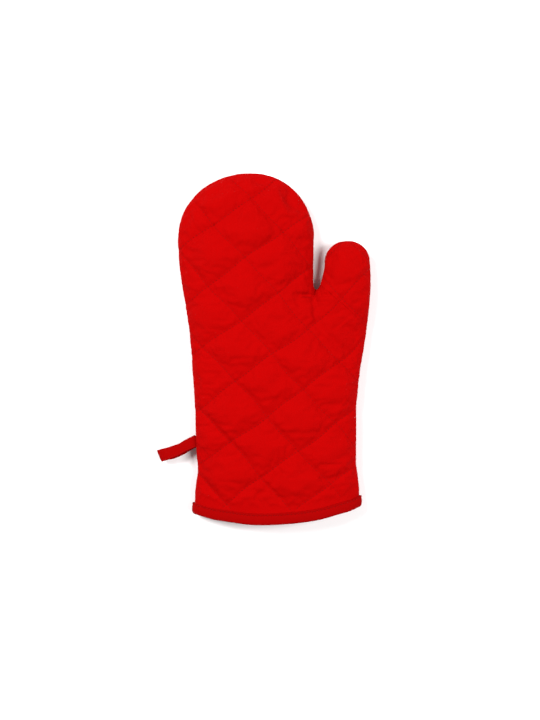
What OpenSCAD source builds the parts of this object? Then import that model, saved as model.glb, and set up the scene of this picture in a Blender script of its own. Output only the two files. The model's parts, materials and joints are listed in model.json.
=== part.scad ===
// Quilted cotton oven mitt lying flat, palm side up, with its thumb towards +X.
// The origin is on the resting plane, under the middle of the palm. +Y runs from cuff to fingertips.

/* [Overall size] */
// Length of the finger lobe's tip beyond the origin
tip_reach = 165; // [150:1:180]
// Width across the finger pocket
finger_width = 128; // [110:1:140]
// Width of the wrist, seam to seam
wrist_width = 150; // [140:1:160]
// How far the cuff spreads past the wrist on each side
cuff_flare = 3; // [0:0.5:6]
// How far the finger pocket leans away from the thumb
finger_lean = 17; // [10:1:20]
// Distance from the origin to the lowest point of the cuff edge
cuff_reach = 166; // [150:1:175]
// Radius of the curved cuff edge
cuff_radius = 247; // [220:1:320]
// Thickness of the mitt as it lies, over the palm
mitt_thickness = 28; // [26:0.5:34]
// How much thinner it lies at the cuff
cuff_thinning = 2; // [0:0.5:3]
// Height of the side seam above the resting plane
seam_height = 10; // [9:0.5:12]

/* [Thumb] */
// Width of the thumb pocket
thumb_width = 44; // [38:1:48]
// Gap between the finger pocket and the thumb's round tip
thumb_gap = 8.5; // [6:0.5:12]
// Height of the middle of the thumb's round tip above the origin
thumb_top = 80; // [74:1:86]
// Height of the crotch between thumb and fingers above the origin
crotch_y = 53; // [48:1:58]
// Thickness of the thumb as it lies
thumb_thickness = 24; // [22:0.5:28]

/* [Layers] */
// Outer cotton cloth
shell_cloth = 0.8; // [0.6:0.1:1.2]
// Quilted wadding between the cloths
padding = 3.4; // [2.4:0.1:4.4]
// Cotton lining
lining_cloth = 0.6; // [0.4:0.1:1]
// Diameter of the sewing thread
thread = 0.5; // [0.4:0.1:0.6]
// Distance of the side seam's stitching inside the edge
seam_inset = 1.6; // [1.2:0.1:2]

/* [Cuff binding] */
// Width of the binding tape as it shows
binding_width = 11; // [8:0.5:16]
// Thickness of the folded binding on each side of the wall
binding_cloth = 1.2; // [0.8:0.1:1.6]
// Distance of the binding's topstitch from its inner edge
binding_stitch_inset = 1.4; // [1:0.1:2.5]

/* [Hanging loop] */
// Distance of the loop's root below the origin
loop_drop = 88; // [70:1:110]
// How far the loop reaches from the side seam
loop_length = 37; // [30:1:45]
// Width of the loop tape
loop_width = 11.5; // [8:0.5:14]
// Thickness of the loop tape
loop_tape = 1.4; // [1:0.1:1.8]
// Angle of the loop towards the cuff
loop_angle = 23; // [0:1:35]
// Length of the loop's ends that is caught in the side seam
loop_tail = 6.5; // [5:0.5:10]

/* [Folds] */
// Height of the knuckle fold above the origin
knuckle_y = 80.5; // [70:0.5:90]
// Slope of the thumb fold, below +X
thumb_fold_angle = 41; // [36:1:46]
// Gap between neighbouring sections at a fold
fold_gap = 0.4; // [0.3:0.1:0.8]
// Gap between the hanging loop's root and the side seam
loop_gap = 1; // [0.8:0.1:1.5]

/* [Hidden] */

ring_points = 24;                // points round one cross-section
far = 400;                       // larger than the mitt
clear = 0.05;                    // running room between sewn pieces
palm_fullness = 2.3;             // exponent of the superellipse above the seam
back_fullness = 2.8;             // exponent of the superellipse below the seam
belly = 2.5;                     // how far the back panel would bulge below the resting plane
shell_inner = shell_cloth;
padding_inner = shell_inner + padding;
lining_inner = padding_inner + lining_cloth;
wrist_half = wrist_width / 2;
thumb_radius = thumb_width / 2;
tip_radius = finger_width / 2;
tip_centre_y = tip_reach - tip_radius;
finger_left = -(wrist_half + 1 + finger_lean);
finger_right = finger_left + finger_width;
thumb_reach = finger_right + thumb_gap + thumb_width;
crotch_x = finger_right + 2.5;
cuff_centre_x = -10;
lift_start_y = -110;             // the back panel lifts off the table from here to the cuff
lift_slope = 1.15 * (binding_cloth + thread) / 30;
thumb_root_y = -34;              // lower end of the thumb lobe, buried in the palm
thumb_root_rise = 8;             // how far its lowest ring stands above the seam
thumb_root_inset = 3;            // how far its lowest ring stays inside the palm's edge
hinge_gap = 2.3;                 // distance of the loop's hinge line from the side seam
loop_stitch_gap = 7;             // distance of the loop's stitching from the side seam

// 0 below a, 1 above b and a smooth step between them
function blend(a, b, x) = let (k = min(1, max(0, (x - a) / (b - a)))) k * k * (3 - 2 * k);
function mix(a, b, k) = a + (b - a) * k;
function signed_power(v, e) = sign(v) * pow(abs(v), e);

// Left edge, right edge and thickness of the hand and finger lobe at height y
function flare(y) = cuff_flare * blend(115, 150, -y);
function hand_left(y) = mix(-(wrist_half + 1), finger_left, blend(-80, 100, y)) - flare(y);
function palm_right(y) = mix(wrist_half - 1, thumb_reach, blend(-60, 66, y)) + flare(y);
function hand_right(y) = mix(palm_right(y), finger_right, blend(-45, crotch_y + 8, y));
function hand_thickness(y) = mitt_thickness - cuff_thinning * blend(60, 160, -y);

// Left edge of the thumb lobe, which runs down from the crotch into the palm
function thumb_left(y) =
    y > crotch_y
        ? mix(crotch_x, thumb_reach - thumb_width, blend(crotch_y - 6, thumb_top, y))
        : crotch_x - (crotch_y - y) * 0.42;

// Height and right edge of the thumb lobe, which come out of the palm
function thumb_height(y) =
    mix(seam_height + thumb_root_rise, thumb_thickness, blend(thumb_root_y, crotch_y - 20, y));
function thumb_right(y) =
    palm_right(y) - thumb_root_inset * (1 - blend(thumb_root_y - 20, 20, y));

// One closed ring between two edge points, at inset t from the outer surface
function ring(left, right, top, t) =
    let (
        span = norm(right - left),
        along = (right - left) / span,
        middle = (left + right) / 2,
        half = span / 2 - t,
        up = top - seam_height - t,
        down = min(seam_height + belly, top - seam_height) - t
    )
    [for (i = [0:ring_points - 1])
        let (
            a = 360 * i / ring_points,
            rise = sin(a),
            power = 2 / (rise < 0 ? back_fullness : palm_fullness),
            offset_along = half * signed_power(cos(a), power),
            z = seam_height + (rise < 0 ? down : up) * signed_power(rise, power)
        )
        [middle.x + along.x * offset_along, middle.y + along.y * offset_along, z]];

// A ring of a round tip, at angle a from its widest line; past 90 degrees it closes to a point
function tip_ring(centre, radius, top, a, t) =
    let (
        rise = (radius - t) * sin(a),
        shrink = cos(a),
        half = max(0.4, (radius - t) * shrink),
        height = max(0.4, (top - seam_height - t) * shrink)
    )
    ring(centre + [-half - t, rise], centre + [half + t, rise], seam_height + height + t, t);

function hand_rings(t) = concat(
    [for (y = [-190, -166, -140, -112, -84, -56, -28, 0, 28, 52, 76, tip_centre_y])
        ring([hand_left(y), y], [hand_right(y), y], hand_thickness(y), t)],
    [for (a = [15, 32, 48, 62, 74, 84])
        tip_ring([finger_left + tip_radius, tip_centre_y], tip_radius, mitt_thickness, a, t)]
);

function thumb_rings(t) = concat(
    [for (y = [thumb_root_y, -20, -6, 10, 26, 42, crotch_y + 1, 68, thumb_top])
        let (right_y = mix(y - 22, thumb_top, blend(-60, thumb_top, y)))
        ring([thumb_left(y), y], [thumb_right(right_y), right_y], thumb_height(y), t)],
    [for (a = [22, 45, 65, 82])
        tip_ring([thumb_reach - thumb_radius, thumb_top], thumb_radius, thumb_thickness, a, t)]
);

// Skins a list of level, parallel rings
module loft(rings) {
    for (i = [0:len(rings) - 2])
        hull() {
            polyhedron(points = concat(rings[i], rings[i + 1]),
                       faces = [[for (k = [0:2 * ring_points - 1]) k]]);
        }
}

// Skins a list of rings that turn from one to the next, as one closed solid
module turning_loft(rings) {
    last = ring_points * (len(rings) - 1);
    sides = [for (i = [0:len(rings) - 2], k = [0:ring_points - 1])
        let (
            a = i * ring_points + k,
            b = i * ring_points + (k + 1) % ring_points
        )
        each [[a, b, b + ring_points], [a, b + ring_points, a + ring_points]]];
    polyhedron(
        points = [for (one = rings) each one],
        faces = concat(sides, [[for (k = [ring_points - 1:-1:0]) k]], [[for (k = [0:ring_points - 1]) last + k]])
    );
}

// Everything above the plane that the mitt's back keeps, at inset t
module above_table(t) {
    intersection() {
        translate([-far, -far, t]) cube([2 * far, 2 * far, far]);
        translate([0, lift_start_y, t])
            rotate([-atan(lift_slope), 0, 0])
            translate([-far, -far, 0]) cube([2 * far, 2 * far, far]);
    }
}

// The mitt's whole volume at inset t from its outer surface, open-ended past the cuff
module volume(t) {
    intersection() {
        union() {
            loft(hand_rings(t));
            turning_loft(thumb_rings(t));
        }
        above_table(t);
    }
}

// Everything on the hand's side of the curved cuff edge, moved in by inset
module inside_cuff(inset) {
    translate([cuff_centre_x, cuff_radius - cuff_reach, -far])
        cylinder(r = cuff_radius - inset, h = 2 * far, $fn = 120);
}

// Sections of the mitt between its two folds
thumb_fold_x = thumb_reach - thumb_width + 1;
thumb_fold_y = crotch_y + 2;
separator_x = finger_right + 2;

module beyond_thumb_fold(gap) {
    intersection() {
        translate([thumb_fold_x, thumb_fold_y, -far])
            rotate([0, 0, -thumb_fold_angle])
            translate([-far, gap / 2, 0]) cube([2 * far, far, 2 * far]);
        translate([separator_x, -far, -far]) cube([far, 2 * far, 2 * far]);
    }
}

module beyond_knuckles(gap) {
    translate([separator_x - far, knuckle_y + gap / 2, -far]) cube([far, far, 2 * far]);
}

module section(name) {
    if (name == "thumb")
        intersection() {
            children();
            beyond_thumb_fold(fold_gap);
        }
    if (name == "fingers")
        intersection() {
            children();
            beyond_knuckles(fold_gap);
        }
    if (name == "hand")
        difference() {
            intersection() {
                children();
                inside_cuff(binding_cloth + clear);
            }
            beyond_thumb_fold(-fold_gap);
            beyond_knuckles(-fold_gap);
        }
}

module palm_side() {
    translate([-far, -far, seam_height]) cube([2 * far, 2 * far, far]);
}

module back_side() {
    translate([-far, -far, seam_height - far]) cube([2 * far, 2 * far, far]);
}

// One sheet of the wall between two insets
module wall(outer, inner) {
    difference() {
        volume(outer);
        volume(inner);
    }
}

module seam_stitching() {
    intersection() {
        wall(seam_inset, seam_inset + thread);
        translate([-far, -far, seam_height - thread / 2]) cube([2 * far, 2 * far, thread]);
    }
}

// Frame of the loop: X runs out from the side seam, Y across the tape, Z up
module at_loop() {
    translate([hand_left(-loop_drop), -loop_drop, 0])
        rotate([0, 0, 180 + loop_angle])
        children();
}

module loop_tails(room) {
    translate([hand_left(-loop_drop) + fold_gap - room, -loop_drop - loop_width / 2 - room,
               seam_height - loop_tape - room])
        cube([loop_tail + 2 * room, loop_width + 2 * room, 2 * (loop_tape + room)]);
}

module layer(name, outer, inner) {
    difference() {
        section(name) wall(outer, inner);
        if (name == "hand") loop_tails(clear);
        if (outer == shell_inner) seam_stitching();
    }
}

module palm_layer(name, outer, inner) {
    intersection() {
        layer(name, outer, inner);
        palm_side();
    }
}

module back_layer(name, outer, inner) {
    intersection() {
        layer(name, outer, inner);
        back_side();
    }
}

module palm_shell(name) { color("red") palm_layer(name, 0, shell_inner); }
module palm_padding(name) { color("ivory") palm_layer(name, shell_inner, padding_inner); }
module palm_lining(name) { color("mistyrose") palm_layer(name, padding_inner, lining_inner); }
module back_shell(name) { color("red") back_layer(name, 0, shell_inner); }
module back_padding(name) { color("ivory") back_layer(name, shell_inner, padding_inner); }
module back_lining(name) { color("mistyrose") back_layer(name, padding_inner, lining_inner); }

module side_seam_thread(name) {
    color("darkred")
        difference() {
            section(name) seam_stitching();
            if (name == "hand") inside_cuff_edge();
        }
}

// The cuff's last few millimetres, where the side seam is already locked under the binding
module inside_cuff_edge() {
    difference() {
        translate([-far, -far, -far]) cube([2 * far, far, 2 * far]);
        inside_cuff(binding_width);
    }
}

module cuff_binding() {
    color("firebrick")
        difference() {
            intersection() {
                wall(-binding_cloth, lining_inner + binding_cloth);
                translate([-far, -far, -far]) cube([2 * far, far, 2 * far]);
                inside_cuff(0);
            }
            inside_cuff(binding_width);
            intersection() {
                wall(0, lining_inner);
                inside_cuff(binding_cloth);
            }
        }
}

module cuff_binding_thread() {
    stitch_line = binding_width - binding_stitch_inset;
    color("darkred")
        difference() {
            intersection() {
                wall(-binding_cloth - thread, -binding_cloth);
                translate([-far, -far, -far]) cube([2 * far, far, 2 * far]);
                inside_cuff(stitch_line - thread);
            }
            inside_cuff(stitch_line);
        }
}

// A cubic curve through its two end points
function curve(p, steps) = [for (i = [0:steps])
    let (k = i / steps, m = 1 - k)
    m * m * m * p[0] + 3 * m * m * k * p[1] + 3 * m * k * k * p[2] + k * k * k * p[3]];

// The loop tape's middle line in its own upright plane: out along the top, round the fold and back
root_cut = loop_width / 2;       // extra length at the root, cut off along the seam
root_rise = loop_tape / 2 + clear;
loop_nose = [loop_length - loop_tape / 2, 5.5];
loop_top = concat(
    [[-root_cut, seam_height + root_rise]],
    curve([[0, seam_height + root_rise], [loop_length * 0.45, seam_height + 3.2],
           [loop_nose.x, loop_nose.y + 6.5], loop_nose], 12)
);
loop_under = concat(
    [for (p = curve([loop_nose, [loop_nose.x, -0.7], [loop_length * 0.42, loop_tape / 2 - 2.4],
                     [0, seam_height - root_rise]], 14)) if (p != loop_nose) p],
    [[-root_cut, seam_height - root_rise]]
);
loop_path = concat(loop_top, loop_under);

function side_of(path, i) =
    let (
        ahead = path[min(i + 1, len(path) - 1)],
        behind = path[max(i - 1, 0)],
        way = (ahead - behind) / norm(ahead - behind)
    )
    [-way.y, way.x];

// The outline of a strip between two offsets from its middle line
function strip(path, a, b) = concat(
    [for (i = [0:len(path) - 1]) path[i] + a * side_of(path, i)],
    [for (i = [len(path) - 1:-1:0]) path[i] + b * side_of(path, i)]
);

module upright_strip(path, a, b, across) {
    translate([0, across / 2, 0])
        rotate([90, 0, 0])
        linear_extrude(height = across)
        polygon(strip(path, a, b));
}

// Everything further out than a gap beside the side seam
module outside_seam(gap) {
    translate([hand_left(-loop_drop) - gap - far, -far, -far]) cube([far, 2 * far, 2 * far]);
}

// Everything the loop may fill and still swing clear of the seam: beyond its hinge line, or round it
module swing_room() {
    outside_seam(hinge_gap);
    translate([hand_left(-loop_drop) - hinge_gap, 0, seam_height])
        rotate([90, 0, 0])
        cylinder(r = hinge_gap - 0.3, h = 2 * far, center = true, $fn = 48);
}

module hanging_loop() {
    color("red")
        intersection() {
            at_loop() upright_strip(loop_path, loop_tape / 2, -loop_tape / 2, loop_width);
            outside_seam(loop_gap);
            swing_room();
        }
}

module hanging_loop_thread() {
    edge = loop_width / 2 - 1.5;
    color("darkred")
        intersection() {
            at_loop()
                for (side = [-1, 1])
                    translate([0, side * edge, 0])
                        upright_strip(loop_top, loop_tape / 2 + thread, loop_tape / 2, thread);
            outside_seam(loop_stitch_gap);
        }
}

module hanging_loop_tails() {
    color("red")
        difference() {
            loop_tails(0);
            seam_stitching();
        }
}

palm_shell("hand");  // palm_shell_hand
palm_shell("fingers");  // palm_shell_fingers
palm_shell("thumb");  // palm_shell_thumb
palm_padding("hand");  // palm_padding_hand
palm_padding("fingers");  // palm_padding_fingers
palm_padding("thumb");  // palm_padding_thumb
palm_lining("hand");  // palm_lining_hand
palm_lining("fingers");  // palm_lining_fingers
palm_lining("thumb");  // palm_lining_thumb
back_shell("hand");  // back_shell_hand
back_shell("fingers");  // back_shell_fingers
back_shell("thumb");  // back_shell_thumb
back_padding("hand");  // back_padding_hand
back_padding("fingers");  // back_padding_fingers
back_padding("thumb");  // back_padding_thumb
back_lining("hand");  // back_lining_hand
back_lining("fingers");  // back_lining_fingers
back_lining("thumb");  // back_lining_thumb
side_seam_thread("hand");  // side_seam_thread_hand
side_seam_thread("fingers");  // side_seam_thread_fingers
side_seam_thread("thumb");  // side_seam_thread_thumb
cuff_binding();
cuff_binding_thread();
hanging_loop();
hanging_loop_thread();
hanging_loop_tails();
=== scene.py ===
"""Quilted cotton oven mitt: its cloth, padding, binding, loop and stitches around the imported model."""

import json
import math

import bmesh
import bpy
import numpy as np
from bpy.props import FloatProperty, FloatVectorProperty, IntProperty, PointerProperty
from mathutils import Matrix, Vector, noise
from mathutils.bvhtree import BVHTree


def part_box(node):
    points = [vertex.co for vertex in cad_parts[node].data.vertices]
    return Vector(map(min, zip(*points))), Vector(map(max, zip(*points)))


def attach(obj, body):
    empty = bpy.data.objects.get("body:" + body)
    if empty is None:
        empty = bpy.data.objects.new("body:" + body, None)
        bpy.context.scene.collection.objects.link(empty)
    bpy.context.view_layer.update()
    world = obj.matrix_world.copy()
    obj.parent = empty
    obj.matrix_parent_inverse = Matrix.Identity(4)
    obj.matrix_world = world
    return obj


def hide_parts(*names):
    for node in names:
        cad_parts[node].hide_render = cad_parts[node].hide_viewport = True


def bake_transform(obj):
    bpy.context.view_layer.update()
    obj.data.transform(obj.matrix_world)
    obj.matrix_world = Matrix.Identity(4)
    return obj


bl_info = {
    "name": "Quilted Oven Mitt",
    "version": (1, 0, 0),
    "blender": (4, 5, 0),
    "location": "View3D > Sidebar > Oven Mitt",
    "description": "Builds a quilted cotton oven mitt lying flat, piece by piece",
    "category": "Add Mesh",
}

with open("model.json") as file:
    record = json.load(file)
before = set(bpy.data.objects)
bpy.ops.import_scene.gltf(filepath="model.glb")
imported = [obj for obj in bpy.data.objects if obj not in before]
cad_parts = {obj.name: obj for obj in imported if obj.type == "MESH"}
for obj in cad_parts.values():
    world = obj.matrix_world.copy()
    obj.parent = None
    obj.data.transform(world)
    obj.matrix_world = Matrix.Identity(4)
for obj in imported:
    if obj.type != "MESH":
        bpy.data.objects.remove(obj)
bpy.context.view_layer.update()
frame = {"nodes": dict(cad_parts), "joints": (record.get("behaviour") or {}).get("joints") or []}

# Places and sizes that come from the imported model
HAND_LOW, HAND_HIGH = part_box("palm_shell_hand")
FINGERS_LOW, FINGERS_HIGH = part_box("palm_shell_fingers")
THUMB_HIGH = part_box("palm_shell_thumb")[1]
JOINTS = {joint["name"]: joint for joint in frame["joints"]}
SEAM_Z = HAND_LOW.z
CUFF_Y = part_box("cuff_binding")[0].y
FOLD_POINT = Vector((*JOINTS["thumb_fold"]["pos_m"][:2], 0))
FOLD_AXIS = Vector(JOINTS["thumb_fold"]["axis"]).normalized()
FOLD_WAY = Vector((-FOLD_AXIS.y, FOLD_AXIS.x, 0))
LOOP_HINGE = Vector(JOINTS["loop_swing"]["pos_m"])
SEPARATOR_X = FINGERS_HIGH.x + 0.002

# Small distances shared by several pieces
SEPARATOR_BOTTOM = -0.02  # the thumb's fold cuts nothing below this height
THUMB_RADIUS = 0.022
THUMB_ROOT = -0.034  # lower end of the thumb's lobe, inside the palm
LIFT_START = -0.110  # the back panel leaves the table from here to the cuff
LIFT_SLOPE = 0.0652
BACK_SHIFT = 0.017  # the back's quilting lines are mirrored about half of this, left of the middle
CUT_WIDTH = 0.00025  # points this near to a cut are moved onto it
CLOTH_REST = 0.00002
PIECE_REST = 0.00003
EDGE_ROW = 0.0016  # the loop's rows of stitches run this far from its edges
SEAM_ROW = 0.0022  # the side seam's stitches run this far from the edge

SIDES = ("palm", "back")
FAMILIES = ("falling", "rising")
MADE = {}  # what one operator leaves for the next: the quilted form and the shells to sew on


class MittForm(bpy.types.PropertyGroup):
    """Outline and thickness of the mitt as it lies."""

    wrist_half: FloatProperty(name="Wrist half width",
                              description="From the middle to the seam at the wrist", default=0.075,
                              min=0.06, max=0.09, unit="LENGTH")
    cuff_flare: FloatProperty(name="Cuff flare",
                              description="How far the cuff spreads past the wrist on each side",
                              default=0.003, min=0, max=0.01, unit="LENGTH")
    cuff_radius: FloatProperty(name="Cuff radius", description="Radius of the curved cuff edge",
                               default=0.247, min=0.2, max=0.4, unit="LENGTH")
    cuff_middle: FloatProperty(name="Cuff middle",
                               description="Where across the mitt the cuff edge is lowest", default=-0.010,
                               min=-0.03, max=0.03, unit="LENGTH")
    cuff_thinning: FloatProperty(name="Cuff thinning",
                                 description="How much thinner the mitt lies at the cuff", default=0.002,
                                 min=0, max=0.005, unit="LENGTH")
    crotch: FloatProperty(name="Crotch", description="Height of the crotch between thumb and fingers",
                          default=0.0515, min=0.04, max=0.06, unit="LENGTH")
    belly: FloatProperty(name="Belly", description="How far the back would bulge below the table",
                         default=0.0025, min=0, max=0.006, unit="LENGTH")
    swell: FloatProperty(name="Swell",
                         description="How far the filled edge stands out past the pattern's outline",
                         default=0.0014, min=0, max=0.004, unit="LENGTH")
    notch: FloatProperty(name="Notch",
                         description="How far the gap at the crotch is drawn open on each side",
                         default=0.0003, min=0, max=0.004, unit="LENGTH")
    voxel: FloatProperty(name="Cloth grid", description="Spacing of the simulated cloth's grid",
                         default=0.0020, min=0.0018, max=0.005, unit="LENGTH")
    pressure: FloatProperty(name="Puff pressure", description="Pressure that fills the quilted diamonds",
                            default=4.5, min=0, max=12)
    slack: FloatProperty(name="Cloth slack", description="Share by which the cloth is larger than the form",
                         default=0.032, min=0, max=0.15)
    steps: IntProperty(name="Steps", description="Frames of cloth simulation", default=18, min=4, max=60)
    puff_limit: FloatProperty(name="Puff limit", description="Furthest that the cloth may move as it fills",
                              default=0.0034, min=0.001, max=0.01, unit="LENGTH")


class MittQuilting(bpy.types.PropertyGroup):
    """The two families of quilting lines and how the cloth sinks along them."""

    falling_angle: FloatProperty(name="Falling lines",
                                 description="Slope of the lines that fall towards the thumb side",
                                 default=math.radians(-47.7), subtype="ANGLE")
    falling_first: FloatProperty(name="Falling lines start",
                                 description="Distance of one falling line from the origin", default=0.034,
                                 unit="LENGTH")
    falling_pitch: FloatProperty(name="Falling lines pitch",
                                 description="Distance between the falling lines", default=0.0421, min=0.02,
                                 max=0.08, unit="LENGTH")
    rising_angle: FloatProperty(name="Rising lines",
                                description="Slope of the lines that rise towards the thumb side",
                                default=math.radians(36), subtype="ANGLE")
    rising_first: FloatProperty(name="Rising lines start",
                                description="Distance of one rising line from the origin", default=-0.0025,
                                unit="LENGTH")
    rising_pitch: FloatProperty(name="Rising lines pitch", description="Distance between the rising lines",
                                default=0.0435, min=0.02, max=0.08, unit="LENGTH")
    groove_depth: FloatProperty(name="Groove depth", description="How deep the stitches pull the cloth",
                                default=0.0012, min=0, max=0.004, unit="LENGTH")
    groove_width: FloatProperty(name="Groove width",
                                description="How quickly the cloth rises beside a line", default=0.0027,
                                min=0.0005, max=0.01, unit="LENGTH")
    pucker: FloatProperty(name="Pucker", description="Height of the gathers along a line", default=0.00026,
                          min=0, max=0.001, unit="LENGTH")
    stitch: FloatProperty(name="Stitch length", description="Length of one stitch and the gap after it",
                          default=0.0032, min=0.001, max=0.006, unit="LENGTH")
    thread: FloatProperty(name="Thread", description="Diameter of the sewing thread", default=0.0005,
                          min=0.0002, max=0.001, unit="LENGTH")


class MittLayers(bpy.types.PropertyGroup):
    """Thickness of each layer of the wall."""

    shell: FloatProperty(name="Shell cloth", description="Outer cotton cloth", default=0.0008,
                         unit="LENGTH")
    padding: FloatProperty(name="Wadding", description="Wadding between the cloths", default=0.0034,
                           unit="LENGTH")
    lining: FloatProperty(name="Lining", description="Cotton lining", default=0.0006, unit="LENGTH")
    pinch: FloatProperty(name="Pinch", description="Share of the wadding left under a quilting line",
                         default=0.3, min=0.05, max=1)


class MittBinding(bpy.types.PropertyGroup):
    """The tape folded over the cuff edge."""

    width: FloatProperty(name="Width", description="Width of the binding as it shows", default=0.011,
                         min=0.006, max=0.02, unit="LENGTH")
    cloth: FloatProperty(name="Cloth", description="Thickness of the folded binding on each side",
                         default=0.0012, min=0.0006, max=0.002, unit="LENGTH")
    stitch_inset: FloatProperty(name="Stitch inset",
                                description="Topstitch's distance from the binding's inner edge",
                                default=0.0016, min=0.001, max=0.004, unit="LENGTH")


class MittLoop(bpy.types.PropertyGroup):
    """The hanging loop of folded tape."""

    drop: FloatProperty(name="Drop", description="Distance of the loop's root below the origin",
                        default=-LOOP_HINGE.y, unit="LENGTH")
    length: FloatProperty(name="Length", description="How far the loop reaches from the side seam",
                          default=0.037, min=0.02, max=0.06, unit="LENGTH")
    width: FloatProperty(name="Width", description="Width of the tape", default=0.0115, unit="LENGTH")
    tape: FloatProperty(name="Tape", description="Thickness of the folded tape", default=0.0014,
                        unit="LENGTH")
    angle: FloatProperty(name="Angle", description="Angle of the loop towards the cuff",
                         default=math.radians(23), subtype="ANGLE")
    twist: FloatProperty(name="Twist", description="How far the tape turns over near its root",
                         default=math.radians(9), subtype="ANGLE")


class MittColours(bpy.types.PropertyGroup):
    """Colours of the cloths, the thread and the floor."""

    shell: FloatVectorProperty(name="Shell", description="Outer cloth", subtype="COLOR", size=3,
                               default=(0.336, 0.0, 0.0))
    tape: FloatVectorProperty(name="Tape", description="Binding and loop tape", subtype="COLOR", size=3,
                              default=(0.262, 0.0, 0.0))
    lining: FloatVectorProperty(name="Lining", description="Lining cloth", subtype="COLOR", size=3,
                                default=(0.31, 0.003, 0.004))
    wadding: FloatVectorProperty(name="Wadding", description="Wadding", subtype="COLOR", size=3,
                                 default=(0.86, 0.83, 0.76))
    thread: FloatVectorProperty(name="Thread", description="Sewing thread", subtype="COLOR", size=3,
                                default=(0.28, 0.0, 0.0))
    floor: FloatVectorProperty(name="Floor", description="Floor", subtype="COLOR", size=3,
                               default=(0.93, 0.93, 0.93))


def settings(name):
    """One group of the mitt's settings."""
    return getattr(bpy.context.scene, "mitt_" + name)


# ---------------------------------------------------------------- form


def ramp(a, b, x):
    """0 below a, 1 above b and a smooth step between them."""
    k = min(1.0, max(0.0, (x - a) / (b - a)))
    return k * k * (3 - 2 * k)


def mix(a, b, k):
    return a + (b - a) * k


def flare(y):
    return settings("form").cuff_flare * ramp(0.115, 0.150, -y)


def bump(middle, spread, x):
    return math.exp(-(((x - middle) / spread) ** 2))


def notch(y):
    """The gap at the crotch stands open a little, so that the thumb and the fingers don't touch."""
    return settings("form").notch * bump(settings("form").crotch + 0.004, 0.009, y)


def hand_left(y):
    """Left edge, which is drawn in a little where the hand narrows to the wrist."""
    edge = mix(-settings("form").wrist_half - 0.001, FINGERS_LOW.x, ramp(-0.080, 0.100, y)) - flare(y)
    return edge - settings("form").swell + 0.0036 * bump(0.025, 0.045, y) + 0.0020 * ramp(0.085, 0.125, -y)


def palm_right(y):
    edge = mix(settings("form").wrist_half - 0.001, THUMB_HIGH.x, ramp(-0.060, 0.066, y)) + flare(y)
    return edge + settings("form").swell + 0.0016 * bump(0.003, 0.038, y)


def hand_right(y):
    return mix(palm_right(y), FINGERS_HIGH.x, ramp(-0.030, settings("form").crotch + 0.003, y)) - notch(y)


def hand_top(y):
    return HAND_HIGH.z - settings("form").cuff_thinning * ramp(0.060, 0.160, -y)


def bow(x):
    """How far the curved cuff edge rises at x above its lowest point."""
    form = settings("form")
    return form.cuff_radius - math.sqrt(max(0.0, form.cuff_radius**2 - (x - form.cuff_middle) ** 2))


def lift(y):
    """How far the back panel is off the table near the cuff, where the binding goes under it."""
    return max(0.0, LIFT_START - y) * LIFT_SLOPE


def ring(left, right, top, inset, count=96):
    """One cross-section between two edge points: a full curve above the seam and a flatter one below it."""
    along = (right - left).normalized()
    middle = (left + right) / 2
    half = (right - left).length / 2 - inset
    up = top - SEAM_Z - inset
    down = min(SEAM_Z + settings("form").belly, top - SEAM_Z) - inset
    points = []
    for i in range(count):
        turn = 2 * math.pi * i / count
        across, rise = math.cos(turn), math.sin(turn)
        power = 2 / (2.3 if rise > 0 else 2.8)
        place = middle + along * (half * math.copysign(abs(across) ** power, across))
        z = SEAM_Z + (up if rise > 0 else down) * math.copysign(abs(rise) ** power, rise)
        points.append(Vector((place.x, place.y, z)))
    return points


def hand_ring(level, inset=0.0, count=96):
    """A cross-section of the hand and fingers that bows with the cuff edge as it comes near it."""
    left, right = Vector((hand_left(level), level)), Vector((hand_right(level), level))
    points = ring(left, right, hand_top(level), inset, count)
    share = ramp(0.060, -CUFF_Y, -level)
    for p in points:
        p.y += bow(p.x) * share
        p.z = max(p.z, inset + lift(p.y))
    return points


def tip_rings(centre, radius, top, reach=(0, 0), lean=0.0):
    """Cross-sections that close over a round tip, which may reach out to its sides or lean to the right."""
    rings = []
    for degrees in range(6, 90, 6):
        turn = math.radians(degrees)
        half = radius * math.cos(turn)
        y = centre.y + radius * math.sin(turn)
        height = (top - SEAM_Z) * math.cos(turn)
        left, right = (share * math.sin(2 * turn) for share in reach)
        middle = centre.x + lean * math.sin(turn) ** 3
        sides = Vector((middle - half - left, y)), Vector((middle + half + right, y))
        rings.append(flattened(ring(*sides, SEAM_Z + height, 0.0)))
    return rings


def flattened(points):
    for p in points:
        p.z = max(p.z, 0.0)
    return points


def hand_rings():
    radius = (FINGERS_HIGH.x - FINGERS_LOW.x) / 2
    centre = Vector((FINGERS_LOW.x + radius, FINGERS_HIGH.y - radius))
    start = CUFF_Y + settings("binding").cloth
    count = 36
    levels = [mix(start, centre.y, i / count) for i in range(count + 1)]
    swell = settings("form").swell
    tip = tip_rings(centre, radius + 0.5 * swell, HAND_HIGH.z, (0.0016, 0.0010), 0.0038)
    return [hand_ring(level) for level in levels] + tip


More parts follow.
